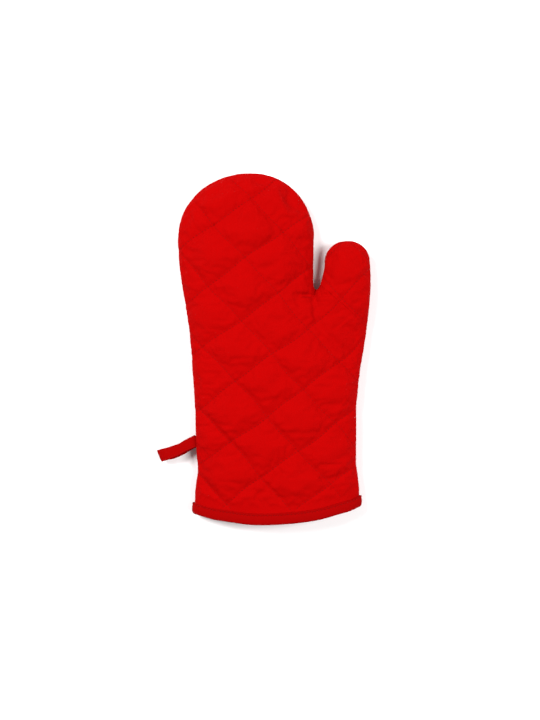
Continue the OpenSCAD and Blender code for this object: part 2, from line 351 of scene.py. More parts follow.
def thumb_rings():
    """The thumb comes out of the palm on rings that slant with it and ends in a round tip."""
    crotch = settings("form").crotch
    radius = THUMB_RADIUS
    middle_y = THUMB_HIGH.y - radius
    open_x = FINGERS_HIGH.x + 0.0022
    rings = []
    for i in range(22):
        y = mix(THUMB_ROOT, middle_y, i / 21)
        right_y = mix(y - 0.022, middle_y, ramp(-0.060, middle_y, y))
        left_x = open_x - (crotch - y) * 0.42
        if y > crotch:
            left_x = mix(open_x, THUMB_HIGH.x - 2 * radius + 0.001, ramp(crotch - 0.006, middle_y, y))
        left_x += notch(y)
        right_x = palm_right(right_y) - 0.0005
        top = mix(SEAM_Z + 0.008, THUMB_HIGH.z, ramp(THUMB_ROOT, crotch - 0.020, y))
        rings.append(flattened(ring(Vector((left_x, y)), Vector((right_x, right_y)), top, 0.0)))
    swell = settings("form").swell
    return rings + tip_rings(Vector((THUMB_HIGH.x - radius + 0.6 * swell, middle_y)), radius, THUMB_HIGH.z)


# ---------------------------------------------------------------- mesh helpers


def loft(bm, rings, closed=True):
    """Bridges a list of rings and closes its two ends."""
    loops = []
    for points in rings:
        verts = [bm.verts.new(p) for p in points]
        pairs = zip(verts, verts[1:] + verts[:1])
        loops.append([bm.edges.new(pair) for pair in pairs])
    for low, high in zip(loops, loops[1:]):
        bmesh.ops.bridge_loops(bm, edges=low + high)
    if closed:
        for loop in (loops[0], loops[-1]):
            bmesh.ops.triangle_fill(bm, edges=loop, use_beauty=True)
    else:
        bmesh.ops.bridge_loops(bm, edges=loops[-1] + loops[0])
    bmesh.ops.recalc_face_normals(bm, faces=bm.faces)


def new_piece(name, bm):
    """A mesh object at the origin from a bmesh, which is freed."""
    mesh = bpy.data.meshes.new(name)
    bm.to_mesh(mesh)
    bm.free()
    piece = bpy.data.objects.new(name, mesh)
    bpy.context.scene.collection.objects.link(piece)
    mesh.shade_smooth()
    return piece


def apply_modifiers(piece):
    """Replaces a piece's mesh by what its modifiers make of it."""
    bpy.context.view_layer.update()
    made = bpy.data.meshes.new_from_object(piece.evaluated_get(bpy.context.evaluated_depsgraph_get()))
    made.name = piece.name
    old = piece.data
    piece.modifiers.clear()
    piece.data = made
    bpy.data.meshes.remove(old)
    return piece


def rounded(piece):
    """Rounds a piece's edges with one level of subdivision."""
    finer = piece.modifiers.new("Round", "SUBSURF")
    finer.levels = finer.render_levels = 1
    return apply_modifiers(piece)


def remove(piece):
    mesh = piece.data
    bpy.data.objects.remove(piece)
    bpy.data.meshes.remove(mesh)


def rest_on_table(piece):
    """No part of a piece goes below the table."""
    co = coordinates(piece.data)
    co[:, 2] = np.maximum(co[:, 2], PIECE_REST)
    place(piece.data, co)


def coordinates(mesh):
    co = np.empty(len(mesh.vertices) * 3, np.float32)
    mesh.vertices.foreach_get("co", co)
    return co.reshape(-1, 3).astype(float)


def normals(mesh):
    co = np.empty(len(mesh.vertices) * 3, np.float32)
    mesh.vertex_normals.foreach_get("vector", co)
    return co.reshape(-1, 3).astype(float)


def place(mesh, co):
    mesh.vertices.foreach_set("co", co.astype(np.float32).ravel())
    mesh.update()


def store(mesh, name, values, kind="FLOAT"):
    """Writes one value for each vertex as a named attribute."""
    attribute = mesh.attributes.get(name) or mesh.attributes.new(name, kind, "POINT")
    field = "vector" if kind == "FLOAT_VECTOR" else "value"
    attribute.data.foreach_set(field, values.astype(np.float32).ravel())


def smooth(a, b, x):
    """The smooth step of ramp for a whole array."""
    k = np.clip((x - a) / (b - a), 0, 1)
    return k * k * (3 - 2 * k)


def clouds(co, size, seed):
    """Smooth noise from -1 to 1 at each point, with features about as large as size."""
    shift = Vector((seed * 7.31, seed * 3.17, seed * 5.71))
    return np.array([noise.noise(Vector(p) / size + shift) for p in co])


# ---------------------------------------------------------------- quilting


def line_family(xy, family, back):
    """Of one family: distance to the nearest line, distance along it, and a wave that is 0 on every line."""
    q = settings("quilting")
    angle = getattr(q, family + "_angle")
    first, pitch = getattr(q, family + "_first"), getattr(q, family + "_pitch")
    x, y = xy[:, 0], xy[:, 1]
    if back:
        x = -x - BACK_SHIFT
    along = x * math.cos(angle) + y * math.sin(angle)
    across = -x * math.sin(angle) + y * math.cos(angle)
    if family == "rising":
        across = across - 3.0 * np.maximum(0, x - 0.025) ** 2 * smooth(-0.06, 0.06, y)
    wander = 0.0009 * np.sin(along / 0.019 + across * 40) + 0.0006 * np.sin(along / 0.0083 + across * 90)
    turns = (across + wander - first) / pitch
    nearest = (turns - np.round(turns)) * pitch
    return nearest, along, np.sin(np.pi * turns) * pitch / np.pi


def nearest_line(co, family):
    """What line_family says at each point, of the back's lines below the seam and of the palm's above it."""
    palm, back = (line_family(co[:, :2], family, side) for side in (False, True))
    return [np.where(co[:, 2] < SEAM_Z, b, a) for a, b in zip(palm, back)]


def groove(distance, width):
    return np.exp(-np.abs(distance) / width)


def relief(co, reach):
    """How far each point of the form moves along its normal, and what the cloth's material reads.

    The deepest place within reach counts, so that the layers inside stay under the shell.
    """
    q = settings("quilting")
    back = co[:, 2] < SEAM_Z
    total = np.zeros(len(co))
    waves = []
    for family in FAMILIES:
        distance, along, wave = nearest_line(co, family)
        uneven = 1 + 0.22 * np.sin(along / 0.023 + distance * 25) + 0.45 * clouds(co, 0.035, 5)
        near = np.maximum(0, np.abs(distance) - reach)
        total -= q.groove_depth * uneven * groove(near, q.groove_width)
        if not reach:
            gather = np.sin(along / 0.00125 + 2.2 * np.sin(along / 0.011))
            gather = gather * np.exp(-((distance / 0.0045) ** 2))
            total += q.pucker * gather * (1 - np.exp(-((distance / 0.0009) ** 2)))
        waves.append(wave)
    total += 0.0010 * clouds(co, 0.045, 1) + 0.00040 * clouds(co, 0.018, 2) + 0.00010 * clouds(co, 0.007, 3)
    total += creases(co, back, reach)
    if reach:
        total -= q.pucker + 0.00014
    seam = np.abs(co[:, 2] - SEAM_Z)
    fresh = smooth(0.0, 0.010, seam)
    total = total * (0.35 + 0.65 * fresh) - 0.0009 * np.exp(-seam / 0.0012)
    edge = cuff_distance(co)
    dip = 0.0006 * (1 - smooth(0.010, 0.024, edge)) * smooth(0.004, 0.011, edge)
    return total * smooth(0.009, 0.020, edge) - dip, waves


def cuff_distance(co):
    """Distance of each point from the curved cuff edge, along the mitt."""
    form = settings("form")
    arc = form.cuff_radius - np.sqrt(np.maximum(0, form.cuff_radius**2 - (co[:, 0] - form.cuff_middle) ** 2))
    return co[:, 1] - arc - CUFF_Y


# Creases at the crotch, a soft one across the palm and two near the cuff: start, end, depth and width
CREASES = (
    ((0.0350, 0.0488), (0.0110, 0.0500), 0.0013, 0.0018),
    ((0.0415, 0.0490), (0.0560, 0.0500), 0.0012, 0.0017),
    ((0.0385, 0.0470), (0.0378, 0.0370), 0.0009, 0.0020),
    ((0.0340, 0.0440), (0.0200, 0.0370), 0.0006, 0.0020),
    ((0.0030, -0.0040), (0.0460, -0.0050), 0.0005, 0.0030),
    ((0.0430, -0.1240), (0.0640, -0.1180), 0.0009, 0.0026),
    ((0.0020, -0.1400), (0.0330, -0.1375), 0.0008, 0.0026),
)


def creases(co, back, reach):
    total = np.zeros(len(co))
    for start, end, depth, width in CREASES:
        a, b = np.array(start), np.array(end)
        way = b - a
        share = np.clip((co[:, :2] - a) @ way / (way @ way), 0, 1)
        aside = np.linalg.norm(co[:, :2] - a - share[:, None] * way, axis=1)
        fade = 1 - smooth(0.35, 1.0, share)
        total -= depth * fade * np.exp(-((np.maximum(0, aside - reach) / width) ** 2))
        if not reach:
            total += 0.45 * depth * fade * np.exp(-(((aside - 2.4 * width) / (1.5 * width)) ** 2))
    total = np.maximum(total, -0.0018)
    return np.where(back, 0.4 * total, total)


# ---------------------------------------------------------------- cloth simulation


def held_weights(co):
    """1 where the cloth is sewn down or bound, and 0 where it is free to fill."""
    held = np.zeros(len(co))
    for family in FAMILIES:
        distance = np.abs(nearest_line(co, family)[0])
        held = np.maximum(held, 1 - smooth(0.0012, 0.0030, distance))
    held = np.maximum(held, 1 - smooth(0.0020, 0.0045, np.abs(co[:, 2] - SEAM_Z)))
    return np.maximum(held, 1 - smooth(0.014, 0.022, cuff_distance(co)))


def fill_diamonds(piece):
    """Simulates the cloth between the quilting lines as the wadding pushes it out."""
    form = settings("form")
    rest = coordinates(piece.data)
    held = held_weights(rest)
    group = piece.vertex_groups.new(name="held")
    for i, weight in enumerate(held):
        group.add([i], float(weight), "REPLACE")
    cloth = piece.modifiers.new("Wadding", "CLOTH")
    cloth.settings.quality = 4
    cloth.settings.use_pressure = True
    cloth.settings.uniform_pressure_force = form.pressure
    cloth.settings.vertex_group_mass = "held"
    cloth.settings.shrink_min = -form.slack
    cloth.settings.bending_stiffness = 0.4
    cloth.settings.effector_weights.gravity = 0
    cloth.point_cache.frame_start = 1
    cloth.point_cache.frame_end = form.steps
    for step in range(1, form.steps + 1):
        bpy.context.scene.frame_set(step)
    apply_modifiers(piece)
    bpy.context.scene.frame_set(1)
    moved = coordinates(piece.data) - rest
    length = np.linalg.norm(moved, axis=1, keepdims=True)
    moved *= np.minimum(1, form.puff_limit / np.maximum(length, 1e-9))
    co = rest + moved
    co[:, 2] = np.maximum(co[:, 2], 0.0)
    place(piece.data, co)
    piece.vertex_groups.clear()


# ---------------------------------------------------------------- the quilted form and its layers


def quilted_form():
    """The mitt's whole outer surface at two finenesses, cut into regions and quilted."""
    form = settings("form")
    bm = bmesh.new()
    loft(bm, hand_rings())
    loft(bm, thumb_rings())
    piece = new_piece("form", bm)
    remesh = piece.modifiers.new("Grid", "REMESH")
    remesh.mode = "VOXEL"
    remesh.voxel_size = form.voxel
    apply_modifiers(piece)
    bm = bmesh.new()
    bm.from_mesh(piece.data)
    for _ in range(4):
        bmesh.ops.smooth_vert(bm, verts=bm.verts, factor=0.5,
                              use_axis_x=True, use_axis_y=True, use_axis_z=True)
    bm.to_mesh(piece.data)
    bm.free()
    fill_diamonds(piece)
    coarse = piece.copy()
    coarse.data = piece.data.copy()
    bpy.context.scene.collection.objects.link(coarse)
    rounded(piece)
    return {"fine": regions(piece, 0.0), "coarse": regions(coarse, 0.9 * form.voxel)}


def cut_regions(bm, trimmed):
    """Cuts the form at the side seam and the thumb's fold, trims the cuff and numbers the four regions."""
    bmesh.ops.bisect_plane(bm, geom=[*bm.verts, *bm.edges, *bm.faces], dist=CUT_WIDTH,
                           plane_co=(0, 0, SEAM_Z), plane_no=(0, 0, 1))
    middles = [(f, f.calc_center_median()) for f in bm.faces]
    near = [f for f, m in middles if m.x > SEPARATOR_X and m.y > SEPARATOR_BOTTOM]
    edges, verts = (dict.fromkeys(part for f in near for part in getattr(f, kind)) for kind in ("edges", "verts"))
    bmesh.ops.bisect_plane(bm, geom=[*verts, *edges, *near], dist=CUT_WIDTH,
                           plane_co=FOLD_POINT, plane_no=FOLD_WAY)
    trim = CUFF_Y + settings("binding").cloth + trimmed
    middles = [(f, f.calc_center_median()) for f in bm.faces]
    ends = [f for f, m in middles
            if m.y - bow(m.x) < trim or (f.normal.y < -0.8 and m.y - bow(m.x) < trim + 0.008)]
    bmesh.ops.delete(bm, geom=ends, context="FACES")
    number = bm.faces.layers.int.new("region")
    for face in bm.faces:
        centre = face.calc_center_median()
        beyond = centre.x > SEPARATOR_X and (centre - FOLD_POINT).dot(FOLD_WAY) > 0
        face[number] = (0 if centre.z > SEAM_Z else 2) + (1 if beyond else 0)


def regions(piece, reach):
    """Quilts one form and splits it into palm and back, each with its thumb apart."""
    bm = bmesh.new()
    bm.from_mesh(piece.data)
    cut_regions(bm, 0.0024 if reach else 0.0014)
    bm.to_mesh(piece.data)
    bm.free()
    mesh = piece.data
    co, out = coordinates(mesh), normals(mesh)
    depth, waves = relief(co, reach)
    drop = np.where(co[:, 2] > SEAM_Z, HAND_HIGH.z - co[:, 2], co[:, 2])
    flat = co[:, :2] + 0.6 * out[:, :2] * drop[:, None]
    moved = co + out * depth[:, None]
    moved[:, 2] = np.maximum(moved[:, 2], CLOTH_REST)
    place(mesh, moved)
    store(mesh, "out", normals(mesh), "FLOAT_VECTOR")
    store(mesh, "quilt_falling", waves[0])
    store(mesh, "quilt_rising", waves[1])
    lay_flat(mesh, flat)
    found = {}
    for index, name in enumerate(("palm", "palm_thumb", "back", "back_thumb")):
        bm = bmesh.new()
        bm.from_mesh(mesh)
        number = bm.faces.layers.int["region"]
        bmesh.ops.delete(bm, geom=[f for f in bm.faces if f[number] != index], context="FACES")
        found[name] = bpy.data.meshes.new("region_" + name)
        bm.to_mesh(found[name])
        bm.free()
    remove(piece)
    return found


def lay_flat(mesh, flat):
    """The UV map of the cloth, in metres."""
    layer = mesh.uv_layers.new(name="cloth")
    corner = np.empty(len(mesh.loops), np.int32)
    mesh.loops.foreach_get("vertex_index", corner)
    layer.data.foreach_set("uv", flat[corner].astype(np.float32).ravel())


def layer_piece(name, region, start, thick, pinch):
    """One layer of the wall: the region moved in by start, with its thickness, thinner under the stitches."""
    mesh = region.copy()
    mesh.name = name
    piece = bpy.data.objects.new(name, mesh)
    bpy.context.scene.collection.objects.link(piece)
    count = len(mesh.vertices)
    out = np.empty(count * 3, np.float32)
    mesh.attributes["out"].data.foreach_get("vector", out)
    squeeze = np.zeros(count)
    for family in ("quilt_falling", "quilt_rising"):
        wave = np.empty(count, np.float32)
        mesh.attributes[family].data.foreach_get("value", wave)
        squeeze = np.maximum(squeeze, np.exp(-np.abs(wave) / 0.004))
    share = 1 - (1 - pinch) * squeeze
    layers = settings("layers")
    depth = start
    if start > layers.shell:
        depth = layers.shell + (start - layers.shell) * share
    co = coordinates(mesh) - out.reshape(-1, 3) * np.broadcast_to(depth, count)[:, None]
    place(mesh, co)
    group = piece.vertex_groups.new(name="thickness")
    even = thick < layers.padding
    for i, weight in enumerate(np.ones(count) if even else share):
        group.add([i], float(weight), "REPLACE")
    wall = piece.modifiers.new("Thickness", "SOLIDIFY")
    wall.thickness = thick
    wall.offset = -1
    wall.vertex_group = "thickness"
    wall.thickness_vertex_group = 0.0
    apply_modifiers(piece)
    piece.vertex_groups.clear()
    piece.data.shade_smooth()
    return piece


def wear(piece, material):
    piece.data.materials.clear()
    piece.data.materials.append(material)


def hang_on(piece, thumb):
    """Bakes a piece's placement into its mesh; main pieces and thumb pieces are treated alike."""
    if thumb:
        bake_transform(piece)
    else:
        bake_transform(piece)


def add_layer(kind, fineness, start, thick, material):
    """A layer on both sides of the mitt, each with its thumb as a piece of its own."""
    pinch = settings("layers").pinch
    for side in SIDES:
        for thumb in (False, True):
            region = MADE["form"][fineness][side + ("_thumb" if thumb else "")]
            name = f"{side}_{kind}_cloth_thumb" if thumb else f"{side}_{kind}_cloth"
            name = name.replace("padding_cloth", "wadding")
            piece = layer_piece(name, region, start, thick, pinch)
            wear(piece, material)
            sections = ("thumb",) if thumb else ("hand", "fingers")
            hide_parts(*[f"{side}_{kind}_{section}" for section in sections])
            hang_on(piece, thumb)
            if kind == "padding":
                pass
            else:
                size = coordinates(region).max(0) - coordinates(region).min(0)
            MADE[f"{kind}_{side}" + ("_thumb" if thumb else "")] = piece


# ---------------------------------------------------------------- stitches


def stitch_run(bm, places, thread):
    """One stitch, thick in the middle and buried at its ends, for each pair of end points."""
    run = bmesh.new()
    for a, b, up in places:
        way = b - a
        if way.length < 1e-6:
            continue
        x = way.normalized()
        y = up.cross(x).normalized()
        z = x.cross(y)
        turn = Matrix((x, y, z)).transposed().to_4x4()
        size = Matrix.Diagonal((way.length * 0.52, thread * 0.62, thread * 0.55, 1))
        middle = Matrix.Translation((a + b) / 2 + up * thread * 0.25)
        bmesh.ops.create_icosphere(run, subdivisions=1, radius=1, matrix=middle @ turn @ size)
    rows = bpy.data.meshes.new("run")
    run.to_mesh(rows)
    run.free()
    bm.from_mesh(rows)
    bpy.data.meshes.remove(rows)


def thread_piece(name, runs, thread, material):
    bm = bmesh.new()
    for places in runs:
        if places:
            stitch_run(bm, places, thread)
    piece = new_piece(name, bm)
    rest_on_table(piece)
    wear(piece, material)
    return piece


def quilting_places(side, thumb):
    """End points of the quilting stitches on one side of the mitt, line by line, set down on its cloth."""
    q = settings("quilting")
    back = side == "back"
    region = MADE["form"]["fine"][side + ("_thumb" if thumb else "")]
    tree = BVHTree.FromPolygons([v.co for v in region.vertices], [p.vertices for p in region.polygons])
    start, way = Vector((0, 0, -0.05 if back else 0.08)), Vector((0, 0, 1 if back else -1))
    runs = []
    for family in FAMILIES:
        for line in range(-5, 6):
            run = []
            previous = None
            for step in range(-90, 91):
                along = step * q.stitch / 2
                spot = line_point(family, line, along, back)
                if spot is None:
                    previous = None
                    continue
                hit, normal, _, _ = tree.ray_cast(start + Vector((spot[0], spot[1], 0)), way)
                sunk = hit is not None and abs(hit.z - SEAM_Z) > 0.0035 and abs(normal.z) > 0.35
                if not sunk or cuff_distance(np.array([hit]))[0] < 0.0125:
                    previous = None
                    continue
                if normal.z * way.z > 0:
                    normal = -normal
                if step % 2 and previous is not None:
                    run.append((previous[0], hit.copy(), normal.copy()))
                previous = (hit.copy(), normal.copy())
            runs.append(run)
    return runs


def line_point(family, line, along, back):
    """The point of one quilting line at a distance along it, found where its wave crosses 0."""
    q = settings("quilting")
    angle = getattr(q, family + "_angle")
    across = getattr(q, family + "_first") + line * getattr(q, family + "_pitch")
    way, aside = np.array([math.cos(angle), math.sin(angle)]), np.array([-math.sin(angle), math.cos(angle)])
    for _ in range(4):
        spot = way * along + aside * across
        if back:
            spot = np.array([-spot[0] - BACK_SHIFT, spot[1]])
        off = line_family(spot[None, :], family, back)[0][0]
        across -= float(off)
    within = HAND_LOW.x - 0.01 < spot[0] < THUMB_HIGH.x + 0.01 and CUFF_Y < spot[1] < FINGERS_HIGH.y + 0.01
    return spot if within else None


def evenly(points, spacing):
    """A closed or open run of points set out again at an even spacing."""
    out, carry = [points[0].copy()], 0.0
    for a, b in zip(points, points[1:]):
        length = (b - a).length
        while carry + length >= spacing:
            a = a.lerp(b, (spacing - carry) / length)
            out.append(a.copy())
            length = (b - a).length
            carry = 0.0
        carry += length
    return out


# ---------------------------------------------------------------- materials


def node(tree, kind, inputs=None, **values):
    """A node with its settings, and its inputs linked or set."""
    made = tree.nodes.new(kind)
    for name, value in values.items():
        setattr(made, name, value)
    for key, value in (inputs or {}).items():
        if isinstance(value, bpy.types.NodeSocket):
            tree.links.new(value, made.inputs[key])
        else:
            made.inputs[key].default_value = value
    return made


def math_node(tree, operation, a, b=0.0, clamp=False):
    return node(tree, "ShaderNodeMath", {0: a, 1: b}, operation=operation, use_clamp=clamp).outputs[0]


def new_material(name):
    material = bpy.data.materials.new(name)
    material.use_nodes = True
    material.node_tree.nodes.clear()
    return material, material.node_tree


def finish_material(tree, colour, roughness, normal, sheen, sheen_tint, specular=0.25):
    surface = node(tree, "ShaderNodeBsdfPrincipled", {"Base Color": colour, "Roughness": roughness})
    if normal is not None:
        tree.links.new(normal, surface.inputs["Normal"])
    surface.inputs["Sheen Weight"].default_value = sheen
    surface.inputs["Sheen Roughness"].default_value = 0.5
    surface.inputs["Sheen Tint"].default_value = (*sheen_tint, 1)
    surface.inputs["Specular IOR Level"].default_value = specular
    node(tree, "ShaderNodeOutputMaterial", {"Surface": surface.outputs[0]})


def noise_node(tree, place_, scale, detail, **inputs):
    inputs = {key.capitalize(): value for key, value in inputs.items()}
    return node(tree, "ShaderNodeTexNoise",
                {"Vector": place_, "Scale": scale, "Detail": detail, **inputs}).outputs["Fac"]


def bump_node(tree, height, strength, distance, normal=None):
    inputs = {"Height": height, "Strength": strength, "Distance": distance}
    if normal is not None:
        inputs["Normal"] = normal
    return node(tree, "ShaderNodeBump", inputs).outputs[0]


def between(tree, factor, a, b):
    return node(tree, "ShaderNodeMix", {"Factor": factor, "A": a, "B": b}, data_type="RGBA").outputs["Result"]


def tones(tree, factor, colour, low, high):
    """The colour made darker and lighter by a factor from 0 to 1."""
    dark = [c * low for c in colour] + [1]
    light = [min(1.0, c * high) for c in colour] + [1]
    return between(tree, factor, dark, light)


def cotton(name, colour, pitch, uneven, quilted, laid_out=True):
    """Plain-woven cotton: crossing threads, slubs, a faint mottle, and painted shade darkening the grooves along
    the quilting.
    """
    material, tree = new_material(name)
    if laid_out:
        uv = node(tree, "ShaderNodeUVMap", uv_map="cloth").outputs[0]
    else:
        uv = node(tree, "ShaderNodeTexCoord").outputs["Object"]
    parts = node(tree, "ShaderNodeSeparateXYZ", {0: uv})
    ripple = noise_node(tree, uv, 90, 2)
    shift = math_node(tree, "MULTIPLY", ripple, 3.0)
    threads = []
    for axis in ("X", "Y"):
        phase = math_node(tree, "MULTIPLY_ADD", parts.outputs[axis], 2 * math.pi / pitch)
        phase.node.inputs[2].default_value = 0
        tree.links.new(shift, phase.node.inputs[2])
        threads.append(math_node(tree, "SINE", phase))
    crossing = math_node(tree, "MULTIPLY", threads[0], threads[1])
    weave = math_node(tree, "MULTIPLY_ADD", crossing, 0.5)
    weave.node.inputs[2].default_value = 0.5
    streaks = []
    for stretch in ((60, 1500, 1), (1500, 60, 1)):
        drawn = node(tree, "ShaderNodeMapping", {"Vector": uv, "Scale": stretch})
        streaks.append(noise_node(tree, drawn.outputs[0], 1, 1))
    slubs = math_node(tree, "MULTIPLY", math_node(tree, "ADD", streaks[0], streaks[1]), 0.5)
    mottle = noise_node(tree, uv, 38, 5, roughness=0.6)
    fine = noise_node(tree, uv, 420, 3)
    coarse = math_node(tree, "MULTIPLY", mottle, 0.35)
    level = math_node(tree, "ADD", math_node(tree, "MULTIPLY", slubs, 0.45), coarse)
    level = math_node(tree, "ADD", level, math_node(tree, "MULTIPLY", fine, 0.20))
    level = math_node(tree, "ADD", level, math_node(tree, "MULTIPLY", weave, 0.12), clamp=True)
    factor = node(tree, "ShaderNodeMapRange", {"Value": level, "From Min": 0.35, "From Max": 0.75}).outputs[0]
    shade = tones(tree, factor, colour, 1 - uneven, 1 + uneven)
    if quilted:
        # Painted shade: near the quilting lines the colour is mixed a little towards a darker copy of itself,
        # where the grooves sink and shade falls.
        close = None
        for family in ("quilt_falling", "quilt_rising"):
            wave = node(tree, "ShaderNodeAttribute", attribute_name=family).outputs["Fac"]
            distance = math_node(tree, "ABSOLUTE", wave)
            close = distance if close is None else math_node(tree, "MINIMUM", close, distance)
        fold = node(tree, "ShaderNodeMapRange",
                    {"Value": close, "From Min": 0.0, "From Max": 0.0013, "To Min": 1.0, "To Max": 0.0},
                    interpolation_type="SMOOTHSTEP").outputs[0]
        fold = math_node(tree, "MULTIPLY", fold, 0.12)
        deep = [c * 0.45 for c in colour] + [1]
        shade = between(tree, fold, shade, deep)
    wrinkle = noise_node(tree, uv, 150, 3, distortion=0.6)
    soft = bump_node(tree, wrinkle, 0.2, 0.0006)
    rows = bump_node(tree, slubs, 0.4, 0.00012, soft)
    cloth = bump_node(tree, weave, 0.5, 0.00010, rows)
    rough = node(tree, "ShaderNodeMapRange", {"Value": fine, "To Min": 0.78, "To Max": 0.95}).outputs[0]
    finish_material(tree, shade, rough, cloth, 0.06, [mix(c, 1, 0.02) for c in colour], specular=0.03)
    return material


def wadding(name, colour):
    """Matted fibre with lumps and a faint fleck."""
    material, tree = new_material(name)
    uv = node(tree, "ShaderNodeUVMap", uv_map="cloth").outputs[0]
    lumps = noise_node(tree, uv, 220, 6, roughness=0.65)
    fibres = noise_node(tree, uv, 900, 4, distortion=2.5)
    level = math_node(tree, "MULTIPLY", math_node(tree, "ADD", lumps, fibres), 0.5)
    shade = tones(tree, level, colour, 0.82, 1.12)
    finish_material(tree, shade, 0.95, bump_node(tree, level, 0.7, 0.0006), 0.3, (1, 1, 1))
    return material


def twisted_thread(name, colour):
    """Sewing thread, with its twist and a slight shine."""
    material, tree = new_material(name)
    place_ = node(tree, "ShaderNodeTexCoord").outputs["Object"]
    twist = node(tree, "ShaderNodeTexWave", {"Vector": place_, "Scale": 700, "Distortion": 1.0},
                 bands_direction="DIAGONAL").outputs["Fac"]
    shade = tones(tree, twist, colour, 0.75, 1.25)
    finish_material(tree, shade, 0.7, bump_node(tree, twist, 0.5, 0.0001), 0.1, colour, specular=0.1)
    return material


def floor_material(name, colour):
    """Matt white paper with hardly any tone of its own."""
    material, tree = new_material(name)
    place_ = node(tree, "ShaderNodeTexCoord").outputs["Object"]
    tone = noise_node(tree, place_, 3, 2)
    shade = tones(tree, tone, colour, 0.995, 1.005)
    finish_material(tree, shade, 0.9, None, 0.0, (1, 1, 1), specular=0.1)
    return material


def material(kind):
    """Each finish is made once and shared."""
    name = "mitt_" + kind
    if name in bpy.data.materials:
        return bpy.data.materials[name]
    colours = settings("colours")
    if kind == "shell":
        return cotton(name, colours.shell, 0.00062, 0.05, True)
    if kind == "lining":
        return cotton(name, colours.lining, 0.00055, 0.08, True)
    if kind == "tape":
        return cotton(name, colours.tape, 0.00058, 0.08, False)
    if kind == "tails":
        return cotton(name, colours.tape, 0.00058, 0.08, False, laid_out=False)
    if kind == "wadding":
        return wadding(name, colours.wadding)
    if kind == "thread":
        return twisted_thread(name, colours.thread)
    return floor_material(name, colours.floor)


# ---------------------------------------------------------------- operators


class MITT_OT_stage(bpy.types.Operator):
    """Floor, soft studio light and the camera straight above"""

    bl_idname = "mitt.stage"
    bl_label = "Stage"

    def execute(self, context):
        scene = context.scene
        scene.view_settings.view_transform = "Standard"
        bm = bmesh.new()
        bmesh.ops.create_grid(bm, x_segments=1, y_segments=1, size=6)
        floor = new_piece("floor", bm)
        floor.data.materials.append(material("floor"))
        world = bpy.data.worlds.new("studio")
        world.use_nodes = True
        world.node_tree.nodes["Background"].inputs["Color"].default_value = (1, 1, 1, 1)
        world.node_tree.nodes["Background"].inputs["Strength"].default_value = 0.22
        scene.world = world
        self.light("window", Vector((-1.5, 1.0, 1.8)), 1.1, 86)
        self.light("fill", Vector((1.6, -0.1, 2.1)), 1.4, 76)
        camera = bpy.data.objects.new("camera", bpy.data.cameras.new("camera"))
        camera.data.lens = 85
        camera.data.sensor_width = 36
        camera.location = (-0.0066, -0.0115, 1.612)
        scene.collection.objects.link(camera)
        scene.camera = camera
        return {"FINISHED"}

    def light(self, name, place_, size, power):
        lamp = bpy.data.objects.new(name, bpy.data.lights.new(name, "AREA"))
        lamp.data.size = size
        lamp.data.energy = power
        lamp.location = place_
        lamp.rotation_euler = (-place_).to_track_quat("-Z", "Y").to_euler()
        bpy.context.scene.collection.objects.link(lamp)


class MITT_OT_form(bpy.types.Operator):
    """The quilted form that the cloths and the wadding are cut to"""

    bl_idname = "mitt.form"
    bl_label = "Quilted form"

    def execute(self, context):
        MADE["form"] = quilted_form()
        return {"FINISHED"}


class MITT_OT_shells(bpy.types.Operator):
    """Outer cotton cloth of palm and back"""

    bl_idname = "mitt.shells"
    bl_label = "Shell cloths"

    def execute(self, context):
        add_layer("shell", "fine", 0.0, settings("layers").shell, material("shell"))
        return {"FINISHED"}


class MITT_OT_wadding(bpy.types.Operator):
    """Quilted wadding of palm and back"""

    bl_idname = "mitt.wadding"
    bl_label = "Wadding"

    def execute(self, context):
        layers = settings("layers")
        add_layer("padding", "coarse", layers.shell + 0.00005, layers.padding, material("wadding"))
        return {"FINISHED"}


class MITT_OT_linings(bpy.types.Operator):
    """Cotton lining of palm and back"""

    bl_idname = "mitt.linings"
    bl_label = "Linings"

    def execute(self, context):
        layers = settings("layers")
        start = layers.shell + layers.padding + 0.0001
        add_layer("lining", "coarse", start, layers.lining, material("lining"))
        return {"FINISHED"}


class MITT_OT_quilting_thread(bpy.types.Operator):
    """Rows of stitches along the quilting lines of palm and back"""

    bl_idname = "mitt.quilting_thread"
    bl_label = "Quilting stitches"

    def execute(self, context):
        thread = settings("quilting").thread
        for side in SIDES:
            for thumb in (False, True):
                name = f"{side}_quilting_thread" + ("_thumb" if thumb else "")
                hang_on(thread_piece(name, quilting_places(side, thumb), thread, material("thread")), thumb)
        return {"FINISHED"}


class MITT_OT_side_seam(bpy.types.Operator):
    """Stitches that join palm and back, just inside the edge"""

    bl_idname = "mitt.side_seam"
    bl_label = "Side seam stitches"

    def execute(self, context):
        q = settings("quilting")
        for thumb in (False, True):
            region = MADE["form"]["fine"]["palm" + ("_thumb" if thumb else "")]
            runs = [seam_places(run, q) for run in seam_runs(region)]
            name = "side_seam_stitches" + ("_thumb" if thumb else "")
            piece = thread_piece(name, runs, q.thread, material("thread"))
            sections = ("thumb",) if thumb else ("hand", "fingers")
            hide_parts(*["side_seam_thread_" + section for section in sections])
            hang_on(piece, thumb)
        return {"FINISHED"}


def seam_runs(region):
    """The open edge of a palm region along the side seam, as runs of points in order."""
    bm = bmesh.new()
    bm.from_mesh(region)
    rim = {e for e in bm.edges if e.is_boundary and all(abs(v.co.z - SEAM_Z) < 0.0006 for v in e.verts)}
    runs = []
    while rim:
        ends = [e for e in rim if any(sum(o in rim for o in v.link_edges) == 1 for v in e.verts)]
        edge = min(ends or rim, key=lambda e: e.index)
        lone = [v for v in edge.verts if sum(o in rim for o in v.link_edges) == 1]
        vert = lone[0] if lone else edge.verts[0]
        run = [vert.co.copy()]
        while edge is not None:
            rim.discard(edge)
            vert = edge.other_vert(vert)
            run.append(vert.co.copy())
            edge = next((o for o in vert.link_edges if o in rim), None)
        if len(run) > 6:
            runs.append(run)
    bm.free()
    return runs


